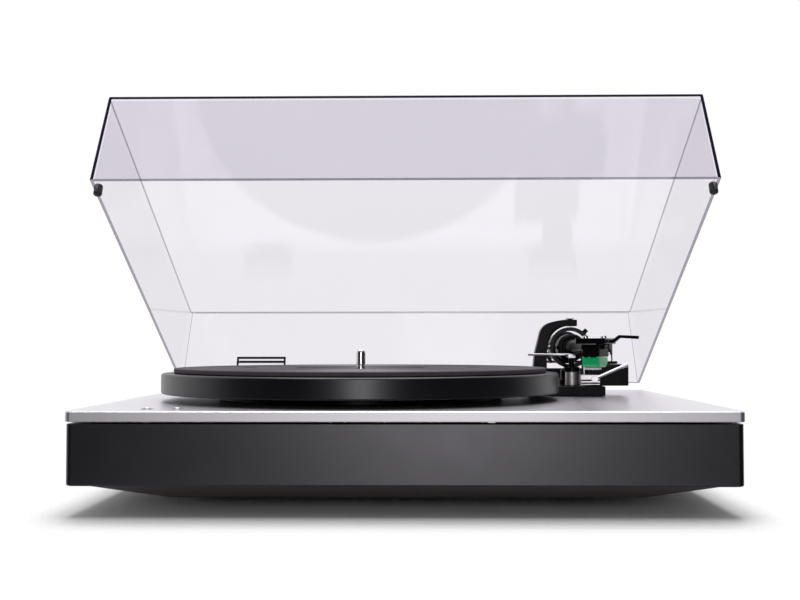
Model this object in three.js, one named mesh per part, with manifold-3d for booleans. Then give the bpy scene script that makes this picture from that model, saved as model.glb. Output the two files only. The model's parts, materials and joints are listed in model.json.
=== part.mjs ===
// Turntable record player with a clear hinged lid, in millimetres, +Z up, X to the right, Y to the back.
// Parts are laid out in the plate frame: Y = 0 at the plate's front edge, Z = 0 on the plate's top face.
// The exported group shifts that frame so that the origin is under the middle of the whole machine.
import * as THREE from 'three';
import { mergeVertices } from 'three/addons/utils/BufferGeometryUtils.js';
import Module from 'manifold-3d';

const wasm = await Module();
wasm.setup();

// Driving dimensions.
const GAP = 0.35; // clearance between neighbouring pieces
const PLATE = { width: 435, depth: 354, thick: 7, corner: 4, chamfer: 0.8 };
const PLATE_HEIGHT = 67.5; // plate top above the surface that the feet stand on
const MACHINE_MIDDLE_Y = 188.6; // half of the overall depth with the lid as stored
const BODY = { inset: 0.8, top: -8.2, bottom: -48, wall: 14, corner: 4 };
const TRAY = { topInset: 8, bottomInset: 53, bottom: -61.6, wall: 4 };
const FOOT = { radius: 19, x: 138, front: 120, back: 272 };

const SPINDLE = { x: -36, y: 175, radius: 3.55, bottom: -30, tip: 38.5 };
const PLATTER = { radius: 154, bottom: 5.4, top: 20.6, bore: 4.2 };
const MAT = { radius: 144.5, top: 24.4, labelRadius: 51, holeRadius: 6, holeDistance: 88 };

const LID = { width: 428, front: 8, back: 350, rim: 1.5, top: 74.3, wall: 2.5, draft: 3.5, corner: 1.6 };
const LID_OPEN = THREE.MathUtils.degToRad(25.75); // how far open the lid is stored
const HINGE = { x: 140, y: 360, z: 6, pin: 2, bore: 2.4, knuckle: 5, half: 9.4, ear: 15 };

const PIVOT = { x: 140, y: 272, z: 39.6 }; // where the arm's two bearing axes cross
const ARM_LENGTH = 218.5; // pivot to stylus
const ARM_TURN = THREE.MathUtils.degToRad(-3.1); // heading of the parked arm
const HEAD_OFFSET = THREE.MathUtils.degToRad(22); // headshell's angle to the pivot-stylus line
const HEAD_LENGTH = 32; // stylus to the bend behind the headshell
const RING = { outer: 17.6, inner: 14.4, half: 4.5 };
const BASE = { front: 210, back: 316, right: 161, left: 102, top: 8.2 };

// Materials.
function finish(color, roughness, metalness) {
  return new THREE.MeshStandardMaterial({ color, roughness, metalness });
}
const aluminium = finish(0xd4d3d8, 0.35, 0.9);
const steel = finish(0xc9c9cc, 0.25, 1.0);
const blackSatin = finish(0x2a2a2c, 0.45, 0.2);
const blackMetal = finish(0x161617, 0.35, 0.5);
const blackPlastic = finish(0x1a1a1b, 0.5, 0.0);
const rubber = finish(0x232225, 0.85, 0.0);
const clear = new THREE.MeshStandardMaterial({
  color: 0xe6e3ee, roughness: 0.05, metalness: 0.0, transparent: true, opacity: 0.3,
});
const green = finish(0x12a05a, 0.4, 0.0);
const board = finish(0x1d5c38, 0.6, 0.0);
const copper = finish(0xb06a3a, 0.4, 0.8);
const magnet = finish(0x4a4a4d, 0.5, 0.6);

// Solids.
function welded(geometry) {
  const bare = geometry.index ? geometry.toNonIndexed() : geometry.clone();
  bare.deleteAttribute('normal');
  bare.deleteAttribute('uv');
  return mergeVertices(bare, 1e-4);
}

function solid(geometry) {
  const mesh = welded(geometry);
  return new wasm.Manifold(new wasm.Mesh({
    numProp: 3,
    vertProperties: new Float32Array(mesh.attributes.position.array),
    triVerts: new Uint32Array(mesh.index.array),
  }));
}

function geometryOf(manifold) {
  const mesh = manifold.getMesh();
  const geometry = new THREE.BufferGeometry();
  geometry.setAttribute('position', new THREE.BufferAttribute(new Float32Array(mesh.vertProperties), 3));
  geometry.setIndex(new THREE.BufferAttribute(new Uint32Array(mesh.triVerts), 1));
  return geometry;
}

function joined(first, ...others) {
  return geometryOf(others.reduce((sum, other) => sum.add(solid(other)), solid(first)));
}

function cut(first, ...tools) {
  return geometryOf(tools.reduce((rest, tool) => rest.subtract(solid(tool)), solid(first)));
}

function block(x0, x1, y0, y1, z0, z1) {
  const geometry = new THREE.BoxGeometry(x1 - x0, y1 - y0, z1 - z0);
  return geometry.translate((x0 + x1) / 2, (y0 + y1) / 2, (z0 + z1) / 2);
}

// A profile of [radius, height] points turned about Z.
function turned(points, segments, x = 0, y = 0) {
  const profile = points.map(([r, z]) => new THREE.Vector2(r, z));
  if (points[0][0] > 0) {
    profile.push(profile[0].clone());
  }
  const geometry = new THREE.LatheGeometry(profile, segments).rotateX(Math.PI / 2);
  return geometry.translate(x, y, 0);
}

function post(radius, x, y, z0, z1, segments = 24) {
  return turned([[0, z0], [radius, z0], [radius, z1], [0, z1]], segments, x, y);
}

// A cylinder along X between x0 and x1.
function pinX(radius, x0, x1, y, z, segments = 24) {
  return post(radius, 0, 0, x0, x1, segments).rotateY(Math.PI / 2).translate(0, y, z);
}

// A cylinder along Y between y0 and y1.
function pinY(radius, x, y0, y1, z, segments = 24) {
  return post(radius, 0, 0, y0, y1, segments).rotateX(-Math.PI / 2).translate(x, 0, z);
}

// An outline in the YZ plane, extruded along X from x0 to x1.
function slabX(shape, x0, x1) {
  const geometry = new THREE.ExtrudeGeometry(shape, { depth: x1 - x0, bevelEnabled: false, curveSegments: 10 });
  const turn = new THREE.Matrix4().makeBasis(
    new THREE.Vector3(0, 1, 0), new THREE.Vector3(0, 0, 1), new THREE.Vector3(1, 0, 0));
  return geometry.applyMatrix4(turn).translate(x0, 0, 0);
}

// An outline in the XZ plane, extruded along Y from y0 to y1.
function slabY(shape, y0, y1) {
  const geometry = new THREE.ExtrudeGeometry(shape, { depth: y1 - y0, bevelEnabled: false, curveSegments: 10 });
  const turn = new THREE.Matrix4().makeBasis(
    new THREE.Vector3(1, 0, 0), new THREE.Vector3(0, 0, 1), new THREE.Vector3(0, -1, 0));
  return geometry.applyMatrix4(turn).translate(0, y1, 0);
}

// An outline in the XY plane, extruded along Z from z0 to z1.
function slabZ(shape, z0, z1) {
  return new THREE.ExtrudeGeometry(shape, { depth: z1 - z0, bevelEnabled: false, curveSegments: 16 })
    .translate(0, 0, z0);
}

// A rounded rectangle of points at height z, anticlockwise from above.
function ringOf(x0, x1, y0, y1, corner, z, steps = 6) {
  const centres = [[x1 - corner, y1 - corner], [x0 + corner, y1 - corner],
    [x0 + corner, y0 + corner], [x1 - corner, y0 + corner]];
  const points = [];
  centres.forEach(([cx, cy], quarter) => {
    for (let i = 0; i <= steps; i += 1) {
      const angle = (quarter + i / steps) * Math.PI / 2;
      points.push([cx + corner * Math.cos(angle), cy + corner * Math.sin(angle), z]);
    }
  });
  return points;
}

// Skins a stack of equal rings. The ends are capped, or the last ring joins the first.
// A stack that climbs has its faces pointing out.
function loft(rings, closed = false) {
  const count = rings[0].length;
  const positions = rings.flat().flat();
  const index = [];
  const pairs = closed ? rings.length : rings.length - 1;
  for (let level = 0; level < pairs; level += 1) {
    const low = level * count;
    const high = ((level + 1) % rings.length) * count;
    for (let i = 0; i < count; i += 1) {
      const next = (i + 1) % count;
      index.push(low + i, low + next, high + next, low + i, high + next, high + i);
    }
  }
  if (!closed) {
    [0, rings.length - 1].forEach((level) => {
      const ring = rings[level];
      const centre = positions.length / 3;
      const sum = ring.reduce((total, p) => [total[0] + p[0], total[1] + p[1]], [0, 0]);
      positions.push(sum[0] / count, sum[1] / count, ring[0][2]);
      for (let i = 0; i < count; i += 1) {
        const a = level * count + i;
        const b = level * count + (i + 1) % count;
        index.push(centre, ...(level === 0 ? [b, a] : [a, b]));
      }
    });
  }
  const geometry = new THREE.BufferGeometry();
  geometry.setAttribute('position', new THREE.Float32BufferAttribute(positions, 3));
  geometry.setIndex(index);
  return geometry;
}

const machine = new THREE.Group();
machine.position.set(0, -MACHINE_MIDDLE_Y, PLATE_HEIGHT);

function add(name, geometry, material, parent = machine) {
  const mesh = new THREE.Mesh(geometry, material);
  mesh.name = name;
  parent.add(mesh);
  return mesh;
}

// Plate, body, tray and feet.
const half = PLATE.width / 2;
const BUTTONS = [['power_button', -170], ['speed_button', -150]];
const BUTTON = { y: 26, radius: 2.6, top: 0.9, bottom: -9.5 };

function plateRing(inset, z) {
  return ringOf(-half + inset, half - inset, inset, PLATE.depth - inset, PLATE.corner, z);
}
const plateSlab = loft([
  plateRing(0.4, -PLATE.thick), plateRing(0, 0.4 - PLATE.thick), plateRing(0, -PLATE.chamfer),
  plateRing(PLATE.chamfer, 0),
]);
add('top_plate', cut(
  plateSlab,
  post(10.5, SPINDLE.x, SPINDLE.y, -9, 1, 32),
  ...BUTTONS.map(([, x]) => post(BUTTON.radius + 0.4, x, BUTTON.y, -9, 1, 20)),
), aluminium);

function bodyRing(inset, z) {
  const edge = BODY.inset + inset;
  return ringOf(-half + edge, half - edge, edge, PLATE.depth - edge, BODY.corner, z);
}
const REAR = { left: -112, right: 112, low: -42, high: -17, face: PLATE.depth - BODY.inset - 2 };
add('plinth_body', cut(
  loft([bodyRing(0.8, BODY.bottom), bodyRing(0, BODY.bottom + 0.8), bodyRing(0, BODY.top),
    bodyRing(BODY.wall, BODY.top), bodyRing(BODY.wall, BODY.bottom)], true),
  block(REAR.left, REAR.right, 330, 360, REAR.low, REAR.high),
), blackSatin);

function trayRing(inset, z) {
  return ringOf(-half + inset, half - inset, inset, PLATE.depth - inset, 8, z);
}
const trayTop = BODY.bottom - GAP;
add('base_tray', loft([
  trayRing(TRAY.bottomInset, TRAY.bottom),
  trayRing(TRAY.topInset, trayTop),
  trayRing(TRAY.topInset + TRAY.wall + 2, trayTop),
  trayRing(TRAY.bottomInset + 3, TRAY.bottom + TRAY.wall),
].reverse().map((ring) => ring.slice().reverse())), blackPlastic);

const footTop = TRAY.bottom - GAP;
for (const [side, x] of [['left', -FOOT.x], ['right', FOOT.x]]) {
  for (const [end, y] of [['front', FOOT.front], ['back', FOOT.back]]) {
    add(`foot_${end}_${side}`, turned([
      [0, -PLATE_HEIGHT], [FOOT.radius - 1, -PLATE_HEIGHT], [FOOT.radius, 1 - PLATE_HEIGHT],
      [FOOT.radius, footTop], [0, footTop],
    ], 32, x, y), rubber);
  }
}

// Front buttons: a cap that shows in the plate and a stem that reaches the board.
for (const [name, x] of BUTTONS) {
  add(name, turned([
    [0, BUTTON.bottom], [BUTTON.radius, BUTTON.bottom], [BUTTON.radius, BUTTON.top - 0.4],
    [BUTTON.radius - 0.4, BUTTON.top], [0, BUTTON.top],
  ], 20, x, BUTTON.y), steel);
}

// Platter, mat, spindle and direct-drive motor.
const { x: sx, y: sy } = SPINDLE;
add('platter', turned([
  [PLATTER.bore, PLATTER.bottom + 4.1], [16, PLATTER.bottom + 4.1], [16, PLATTER.bottom + 9.2],
  [116, PLATTER.bottom + 9.2], [116, PLATTER.bottom + 2.5], [119, PLATTER.bottom],
  [PLATTER.radius - 0.8, PLATTER.bottom], [PLATTER.radius, PLATTER.bottom + 0.8],
  [PLATTER.radius, PLATTER.top - 1], [PLATTER.radius - 1, PLATTER.top], [PLATTER.bore, PLATTER.top],
], 72, sx, sy), blackMetal);
const matBottom = PLATTER.top + GAP;
add('platter_mat', cut(
  turned([
    [PLATTER.bore, matBottom], [MAT.radius, matBottom], [MAT.radius, MAT.top - 0.6],
    [MAT.radius - 0.6, MAT.top], [MAT.labelRadius + 0.8, MAT.top], [MAT.labelRadius, MAT.top - 0.8],
    [PLATTER.bore, MAT.top - 0.8],
  ], 72, sx, sy),
  post(MAT.holeRadius, sx - MAT.holeDistance, sy, matBottom - 2, MAT.top + 2),
  post(MAT.holeRadius, sx + MAT.holeDistance, sy, matBottom - 2, MAT.top + 2),
), rubber);
add('spindle', turned([
  [0, SPINDLE.bottom], [SPINDLE.radius - 1, SPINDLE.bottom], [SPINDLE.radius, SPINDLE.bottom + 1],
  [SPINDLE.radius, SPINDLE.tip - 2.6], [SPINDLE.radius * 0.85, SPINDLE.tip - 1.2],
  [SPINDLE.radius * 0.5, SPINDLE.tip - 0.3], [0, SPINDLE.tip],
], 24, sx, sy), steel);
add('rotor_magnet', turned([[41, 8.6], [53, 8.6], [53, 14.2], [41, 14.2]], 48, sx, sy), magnet);
add('stator_coils', turned([[23, GAP], [37, GAP], [37, 12.4], [23, 12.4]], 36, sx, sy), copper);
add('motor_cover', turned([[58, GAP], [110, GAP], [110, 7.4], [108, 8.2], [58, 8.2]], 72, sx, sy), blackPlastic);
add('spindle_bearing', turned([
  [0, -36], [9.8, -36], [9.8, GAP], [18, GAP], [18, 3.2], [9.6, 3.2], [9.6, 9],
  [3.95, 9], [3.95, -31], [0, -31],
], 32, sx, sy), steel);

// Electronics inside the body.
add('control_board', joined(
  block(-196, -96, 18, 66, -16, -14.4),
  block(-130, -112, 34, 52, -14.6, -12),
  block(-186, -176, 50, 60, -14.6, -11.5),
), board);
add('power_supply', joined(
  block(-196, -120, 250, 332, -44, -40),
  block(-190, -152, 258, 300, -41, -18),
  block(-144, -128, 262, 278, -41, -20),
), blackPlastic);
add('phono_board', joined(
  block(60, 190, 262, 334, -46, -44),
  block(80, 110, 280, 310, -44.5, -40),
  block(140, 170, 290, 322, -44.5, -36),
), board);

// Rear panel with its sockets, switches and buttons.
const SOCKETS = { inlet: -86, rocker: -52, pairing: -26, jacks: [4, 24], ground: 46, output: 74, z: -30 };
const panelBack = REAR.face;
const panelFront = panelBack - 3;
const INLET = { halfWidth: 12, halfHeight: 8, depth: 18 };
add('rear_panel', cut(
  block(REAR.left + GAP, REAR.right - GAP, panelFront, panelBack, REAR.low + GAP, REAR.high - GAP),
  block(SOCKETS.inlet - 13, SOCKETS.inlet + 13, 340, 360, SOCKETS.z - 9, SOCKETS.z + 9),
  block(SOCKETS.rocker - 8, SOCKETS.rocker + 8, 340, 360, SOCKETS.z - 6.5, SOCKETS.z + 6.5),
  pinY(3.3, SOCKETS.pairing, 340, 360, SOCKETS.z, 20),
  ...SOCKETS.jacks.map((x) => pinY(4.6, x, 340, 360, SOCKETS.z, 20)),
  pinY(3, SOCKETS.ground, 340, 360, SOCKETS.z, 20),
  block(SOCKETS.output - 6, SOCKETS.output + 6, 340, 360, SOCKETS.z - 2.2, SOCKETS.z + 2.2),
), blackPlastic);
add('mains_inlet', cut(
  block(SOCKETS.inlet - INLET.halfWidth, SOCKETS.inlet + INLET.halfWidth, panelBack - INLET.depth,
    panelBack + 0.8, SOCKETS.z - INLET.halfHeight, SOCKETS.z + INLET.halfHeight),
  block(SOCKETS.inlet - 9, SOCKETS.inlet + 9, panelBack - 14, panelBack + 5, SOCKETS.z - 4.5, SOCKETS.z + 4.5),
), blackPlastic);
SOCKETS.jacks.forEach((x, i) => {
  add(i === 0 ? 'phono_jack_left' : 'phono_jack_right', cut(
    pinY(4.2, x, panelBack - 14, panelBack + 9, SOCKETS.z, 24),
    pinY(1.7, x, panelBack - 6, panelBack + 12, SOCKETS.z, 12),
  ), steel);
});
add('ground_post', joined(
  pinY(2.6, SOCKETS.ground, panelBack - 10, panelBack + 8, SOCKETS.z, 16),
  pinY(4.4, SOCKETS.ground, panelBack + 1.2, panelBack + 7, SOCKETS.z, 16),
), steel);
const rocker = add('power_rocker', slabX(new THREE.Shape([
  new THREE.Vector2(-4, -4.6), new THREE.Vector2(6.6, -5.6), new THREE.Vector2(5.4, 0),
  new THREE.Vector2(6.6, 5.6), new THREE.Vector2(-4, 4.6),
]), -7, 7), blackPlastic);
rocker.position.set(SOCKETS.rocker, panelBack - 5, SOCKETS.z);
rocker.rotation.x = THREE.MathUtils.degToRad(-6); // stored switched off
add('pairing_button', pinY(2.7, SOCKETS.pairing, panelBack - 6, panelBack + 1.4, SOCKETS.z, 20), blackPlastic);
add('output_switch', joined(
  block(SOCKETS.output - 5.4, SOCKETS.output - 1.4, panelBack - 6, panelBack + 2, SOCKETS.z - 1.8, SOCKETS.z + 1.8),
  block(SOCKETS.output - 5.4, SOCKETS.output - 1.4, panelBack - 8, panelBack - 5, SOCKETS.z - 3, SOCKETS.z + 3),
), blackPlastic);

// Lid, drawn closed and stored open: the group turns it about the hinge line.
const lidGroup = new THREE.Group();
lidGroup.position.set(0, HINGE.y, HINGE.z);
lidGroup.rotation.x = -LID_OPEN;
machine.add(lidGroup);

function lidPart(name, geometry, material) {
  add(name, geometry.translate(0, -HINGE.y, -HINGE.z), material, lidGroup);
}

function lidRing(inset, z) {
  const lean = inset + LID.draft * (z - LID.rim) / (LID.top - LID.rim);
  const corner = Math.max(LID.corner - inset, 0.8);
  return ringOf(-LID.width / 2 + lean, LID.width / 2 - lean, LID.front + lean, LID.back - lean, corner, z);
}
// Each side wall has a notch near the front for a rubber bumper that straddles the wall.
const BUMPER = { x: LID.width / 2 - 1.4, y: LID.front + 18, radius: 3, top: 8.6 };
lidPart('lid', cut(
  loft([
    lidRing(LID.wall, LID.top - LID.wall), lidRing(LID.wall, LID.rim), lidRing(0.3, LID.rim),
    lidRing(0, LID.rim + 0.3), lidRing(0, LID.top - 0.8), lidRing(0.25, LID.top - 0.25), lidRing(0.8, LID.top),
  ]),
  ...[-BUMPER.x, BUMPER.x].map((x) => post(BUMPER.radius + 0.3, x, BUMPER.y, -2, BUMPER.top + 0.3, 20)),
), clear);

for (const [side, sign] of [['left', -1], ['right', 1]]) {
  lidPart(`lid_bumper_${side}`, turned([
    [0, GAP], [BUMPER.radius - 0.7, GAP], [BUMPER.radius, GAP + 0.7], [BUMPER.radius, BUMPER.top - 0.7],
    [BUMPER.radius - 0.7, BUMPER.top], [0, BUMPER.top],
  ], 20, sign * BUMPER.x, BUMPER.y), rubber);

  // Each hinge: a bracket on the body, a pin and a clip screwed to the lid's back wall.
  const cx = sign * HINGE.x;
  const ear = new THREE.Shape();
  ear.moveTo(HINGE.y - 5.6, -20);
  ear.lineTo(HINGE.y + 5.6, -20);
  ear.lineTo(HINGE.y + 5.6, HINGE.z);
  ear.absarc(HINGE.y, HINGE.z, 5.6, 0, Math.PI, false);
  add(`hinge_base_${side}`, cut(
    joined(
      block(cx - HINGE.ear, cx + HINGE.ear, PLATE.depth + GAP, HINGE.y + 6, -34, -0.4),
      slabX(ear, cx - HINGE.ear, cx - HINGE.half - 0.5),
      slabX(ear, cx + HINGE.half + 0.5, cx + HINGE.ear),
    ),
    pinX(HINGE.bore, cx - 20, cx + 20, HINGE.y, HINGE.z),
  ), blackMetal);
  add(`hinge_pin_${side}`, pinX(HINGE.pin, cx - HINGE.ear + 0.6, cx + HINGE.ear - 0.6, HINGE.y, HINGE.z), steel);
  lidPart(`hinge_clip_${side}`, cut(
    joined(
      block(cx - 23, cx + 23, LID.back + GAP, LID.back + 3.4, 3, 29),
      block(cx - HINGE.half, cx + HINGE.half, LID.back + 3, HINGE.y, 3.4, 10.4),
      pinX(HINGE.knuckle, cx - HINGE.half, cx + HINGE.half, HINGE.y, HINGE.z),
    ),
    pinX(HINGE.bore, cx - 20, cx + 20, HINGE.y, HINGE.z),
    block(cx - 21.4, cx + 21.4, LID.back - 2, LID.back + 9, 17, 23.6),
    block(cx - 21.4, cx + 21.4, LID.back - 2, LID.back + 9, 24.9, 27.8),
  ), blackMetal);
}

// Tonearm's fixed mounting: a base that follows the platter's rim, a side housing, pillar and arch.
const rimClear = PLATTER.radius + 3;
const startAngle = Math.asin((BASE.front - sy) / rimClear);
const endAngle = Math.acos((BASE.left - sx) / rimClear);
const baseShape = new THREE.Shape();
baseShape.moveTo(BASE.right, BASE.front);
baseShape.lineTo(BASE.right, BASE.back);
baseShape.lineTo(BASE.left, BASE.back);
baseShape.lineTo(BASE.left, sy + rimClear * Math.sin(endAngle));
baseShape.absarc(sx, sy, rimClear, endAngle, startAngle, true);
add('arm_base', slabZ(baseShape, GAP, BASE.top), blackMetal);
const baseTop = BASE.top + GAP;
const HOUSING = { left: 150, right: 180.5, front: 214.6, back: 256, top: 25.8 };
add('arm_side_housing', block(HOUSING.left, HOUSING.right, HOUSING.front, HOUSING.back, baseTop, HOUSING.top),
  blackPlastic);
add('arm_pillar', turned([
  [0, baseTop], [9.6, baseTop], [9.6, 12], [8.4, 13.2], [8.4, 20], [7, PIVOT.z - RING.outer - 0.4],
  [0, PIVOT.z - RING.outer - 0.4],
], 28, PIVOT.x, PIVOT.y), blackMetal);

const arch = new THREE.Shape();
arch.moveTo(106.5, baseTop);
arch.lineTo(109, 34);
arch.lineTo(113.5, 52);
arch.quadraticCurveTo(115.5, 59.5, 124, 61.6);
arch.quadraticCurveTo(130, 63.2, 135.5, 63.6);
arch.lineTo(145.5, 63.6);
arch.lineTo(145.5, 58);
arch.lineTo(135.5, 58);
arch.quadraticCurveTo(124, 56.5, 121.4, 48);
arch.lineTo(119.4, 34);
arch.lineTo(119.4, baseTop);
add('pivot_arch', cut(slabY(arch, 266, 279), post(2.4, PIVOT.x, PIVOT.y, 50, 70, 20)), blackMetal);
add('top_pivot_screw', turned([
  [0, 57.6], [1, 58.6], [2, 59.2], [2, 64], [3.6, 64], [3.6, 64.7], [0, 64.7],
], 20, PIVOT.x, PIVOT.y), blackMetal);

// Cueing: damped lift cylinder, lift bar and lever. Arm rest and anti-skating dial.
const LIFT = { x: 136, y: 230, barZ: 33.8 };
add('lift_cylinder', cut(
  post(5.35, LIFT.x, LIFT.y, baseTop, 19.8, 28),
  post(2.6, LIFT.x, LIFT.y, 10.5, 25),
), steel);
const barPath = new THREE.QuadraticBezierCurve3(
  new THREE.Vector3(145, 239, LIFT.barZ), new THREE.Vector3(124, 232, LIFT.barZ),
  new THREE.Vector3(101.5, 244, LIFT.barZ));
const barSection = new THREE.Shape();
barSection.absarc(0, 0, 1, 0, Math.PI * 2);
add('lift_bar', joined(
  post(2.2, LIFT.x, LIFT.y, 17.2, 33, 16),
  block(LIFT.x - 3, LIFT.x + 3, LIFT.y - 3, 239.6, 31.2, 34.2),
  new THREE.ExtrudeGeometry(barSection, { steps: 14, extrudePath: barPath, curveSegments: 5 }),
), steel);
const LEVER = { x: 152, y: 208.6, z: 14.4, reach: 28.4, rise: THREE.MathUtils.degToRad(23.7) };
add('cue_bracket', joined(
  block(141, 149.6, 212.4, 226, 9.3, 17.4),
  block(141, 157, 212.4, 214.2, 9.3, 17.4),
), steel);
const leverRod = joined(
  pinX(1.25, 0, LEVER.reach, 0, 0, 12),
  pinY(2.6, 0, -1.6, 3.4, 0, 16),
  pinX(1.7, LEVER.reach - 5, LEVER.reach + 0.6, 0, 0, 12),
);
const lever = add('cue_lever', leverRod.rotateY(-LEVER.rise), steel);
lever.position.set(LEVER.x, LEVER.y, LEVER.z);
add('arm_rest', joined(
  block(150.4, 155, 218, 226, HOUSING.top + GAP, 44),
  block(137, 150.8, 218, 226, 33, 35),
  block(146.4, 150.8, 218, 226, 33.5, 44),
), blackPlastic);
add('anti_skate_dial', turned([
  [0, HOUSING.top + GAP], [7, HOUSING.top + GAP], [7, 27.7], [6.4, 28.2], [0, 28.2],
], 28, 169, 243), blackPlastic);

// Gimbal ring and arm, in a frame at the pivot whose -Y points at the stylus.
const arm = new THREE.Group();
arm.position.set(PIVOT.x, PIVOT.y, PIVOT.z);
arm.rotation.z = ARM_TURN;
machine.add(arm);

const ringBody = turned([
  [RING.inner, -RING.half], [RING.outer, -RING.half], [RING.outer, RING.half], [RING.inner, RING.half],
], 40).rotateX(Math.PI / 2);
add('gimbal_ring', joined(
  ringBody,
  pinX(1.6, -RING.inner - 0.8, -12.2, 0, 0, 12),
  pinX(1.6, 12.2, RING.inner + 0.8, 0, 0, 12),
  post(1.9, 0, 0, RING.outer - 0.6, RING.outer + 3.4, 12).rotateY(THREE.MathUtils.degToRad(43)),
), blackMetal, arm);

// The bend behind the headshell, in the arm's frame.
const bend = new THREE.Vector3(
  HEAD_LENGTH * Math.sin(HEAD_OFFSET), HEAD_LENGTH * Math.cos(HEAD_OFFSET) - ARM_LENGTH, 0);
const tubeTurn = Math.atan2(bend.x, -bend.y);
const tubeLength = bend.length();
const tube = new THREE.Group();
tube.rotation.z = tubeTurn;
arm.add(tube);
add('arm_bearing_housing', turned([
  [0, -10], [10.8, -10], [11.8, -9], [11.8, 11], [10.6, 13], [0, 13],
], 32).rotateX(Math.PI / 2), blackMetal, tube);
add('arm_tube', turned([
  [0, 13 + GAP], [6.6, 13 + GAP], [6.6, 24], [4.4, 29], [4, 60], [4, tubeLength - 4], [0, tubeLength - 4],
], 20).rotateX(Math.PI / 2), blackSatin, tube);
add('rear_stub', turned([
  [0, -58], [3.4, -58], [4, -57.4], [4, -10 - GAP], [0, -10 - GAP],
], 20).rotateX(Math.PI / 2), steel, tube);
add('counterweight', turned([
  [4.45, -50], [13, -50], [14.2, -48.8], [14.2, -28.2], [13, -27], [4.45, -27],
], 36).rotateX(Math.PI / 2), blackMetal, tube);

// Headshell and cartridge, in a frame at the stylus tip, heights from the pivot.
const head = new THREE.Group();
head.position.set(0, -ARM_LENGTH, 0);
head.rotation.z = -HEAD_OFFSET;
arm.add(head);
const HEAD = { bottom: 3.2, top: 7.0, half: 10.5 };
const shell = new THREE.Shape([
  new THREE.Vector2(1.5 - HEAD.half, -9), new THREE.Vector2(HEAD.half - 1.5, -9),
  new THREE.Vector2(HEAD.half, -6), new THREE.Vector2(HEAD.half, 20),
  new THREE.Vector2(5.5, 29), new THREE.Vector2(5.5, 34), new THREE.Vector2(-5.5, 34),
  new THREE.Vector2(-5.5, 29), new THREE.Vector2(-HEAD.half, 20), new THREE.Vector2(-HEAD.half, -6),
]);
add('headshell', cut(
  joined(slabZ(shell, HEAD.bottom, HEAD.top), block(-5, 5, 24, 33.6, -4.4, HEAD.bottom + 0.5)),
  block(-7.6, -5.2, -2, 12, 0, 10),
  block(5.2, 7.6, -2, 12, 0, 10),
  block(-30, 30, 31.5, 60, -5, HEAD.bottom),
), blackMetal, head);
const lift = new THREE.Shape([
  new THREE.Vector2(HEAD.half + 0.3, 3.8), new THREE.Vector2(14.2, 3.8), new THREE.Vector2(18.4, 7.2),
  new THREE.Vector2(31, 6.4), new THREE.Vector2(31, 8.6), new THREE.Vector2(17.6, 9.2),
  new THREE.Vector2(13.4, 6), new THREE.Vector2(HEAD.half + 0.3, 6),
]);
add('finger_lift', slabY(lift, 2, 5.6), blackMetal, head);
add('cartridge_body', joined(
  block(-6, 6, -4, 18, -5.7, HEAD.bottom - GAP),
  block(-8.4, 8.4, 1, 9, -0.4, HEAD.bottom - GAP),
), blackPlastic, head);
add('stylus_holder', slabX(new THREE.Shape([
  new THREE.Vector2(-4.4, -6.05), new THREE.Vector2(-4.4, -10.6), new THREE.Vector2(-2.6, -12.8),
  new THREE.Vector2(12, -12.8), new THREE.Vector2(16.5, -9.5), new THREE.Vector2(16.5, -6.05),
]), -6, 6), green, head);
const cantileverRod = post(0.45, 0, 0, 0, 6, 10).rotateX(THREE.MathUtils.degToRad(-85));
add('cantilever', cantileverRod.translate(0, -1, -14.2), steel, head);

export default machine;
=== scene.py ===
"""Looks of the turntable record player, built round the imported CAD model. Metres, +Z up, +Y to the back."""

import json
import math

import bmesh
import bpy
from mathutils import Matrix, Vector


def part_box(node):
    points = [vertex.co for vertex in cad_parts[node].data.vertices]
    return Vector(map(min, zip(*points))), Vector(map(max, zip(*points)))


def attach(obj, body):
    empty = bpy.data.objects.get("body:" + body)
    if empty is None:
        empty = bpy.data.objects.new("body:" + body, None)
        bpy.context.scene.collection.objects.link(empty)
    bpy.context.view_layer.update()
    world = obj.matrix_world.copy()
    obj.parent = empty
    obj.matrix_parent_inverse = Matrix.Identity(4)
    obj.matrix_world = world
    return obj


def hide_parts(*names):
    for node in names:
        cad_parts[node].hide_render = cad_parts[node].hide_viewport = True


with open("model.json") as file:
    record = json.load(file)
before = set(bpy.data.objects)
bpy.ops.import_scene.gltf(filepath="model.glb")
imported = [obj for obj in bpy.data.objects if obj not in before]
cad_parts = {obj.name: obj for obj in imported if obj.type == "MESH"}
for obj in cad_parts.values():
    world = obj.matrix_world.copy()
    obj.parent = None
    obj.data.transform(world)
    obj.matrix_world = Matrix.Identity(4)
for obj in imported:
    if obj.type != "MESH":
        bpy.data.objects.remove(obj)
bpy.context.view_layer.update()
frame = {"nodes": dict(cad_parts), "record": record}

nodes = frame["nodes"]

MM = 0.001
MICRON = 0.000001
RECORD = frame["record"]
BODY_OF = {node: body for body, members in RECORD["behaviour"]["bodies"].items() for node in members}
JOINT = {joint["name"]: joint for joint in RECORD["behaviour"]["joints"]}

# Places that several pieces share.
PLATE_LOW, PLATE_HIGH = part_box("top_plate")
PLATE_TOP = PLATE_HIGH.z
FRONT = PLATE_LOW.y
SPINDLE_LOW, SPINDLE_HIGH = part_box("spindle")
SPINDLE = (SPINDLE_LOW + SPINDLE_HIGH) / 2
PIVOT = Vector(JOINT["arm_swing"]["pos_m"])
HINGE = Vector(JOINT["lid_hinge"]["pos_m"])
LID_OPEN = -math.radians(JOINT["lid_hinge"]["range_deg"][0])
ARM_TURN = -math.asin(JOINT["arm_tilt"]["axis"][1])
HEAD_OFFSET = math.radians(22)
ARM_LENGTH = 218.5 * MM


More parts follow.
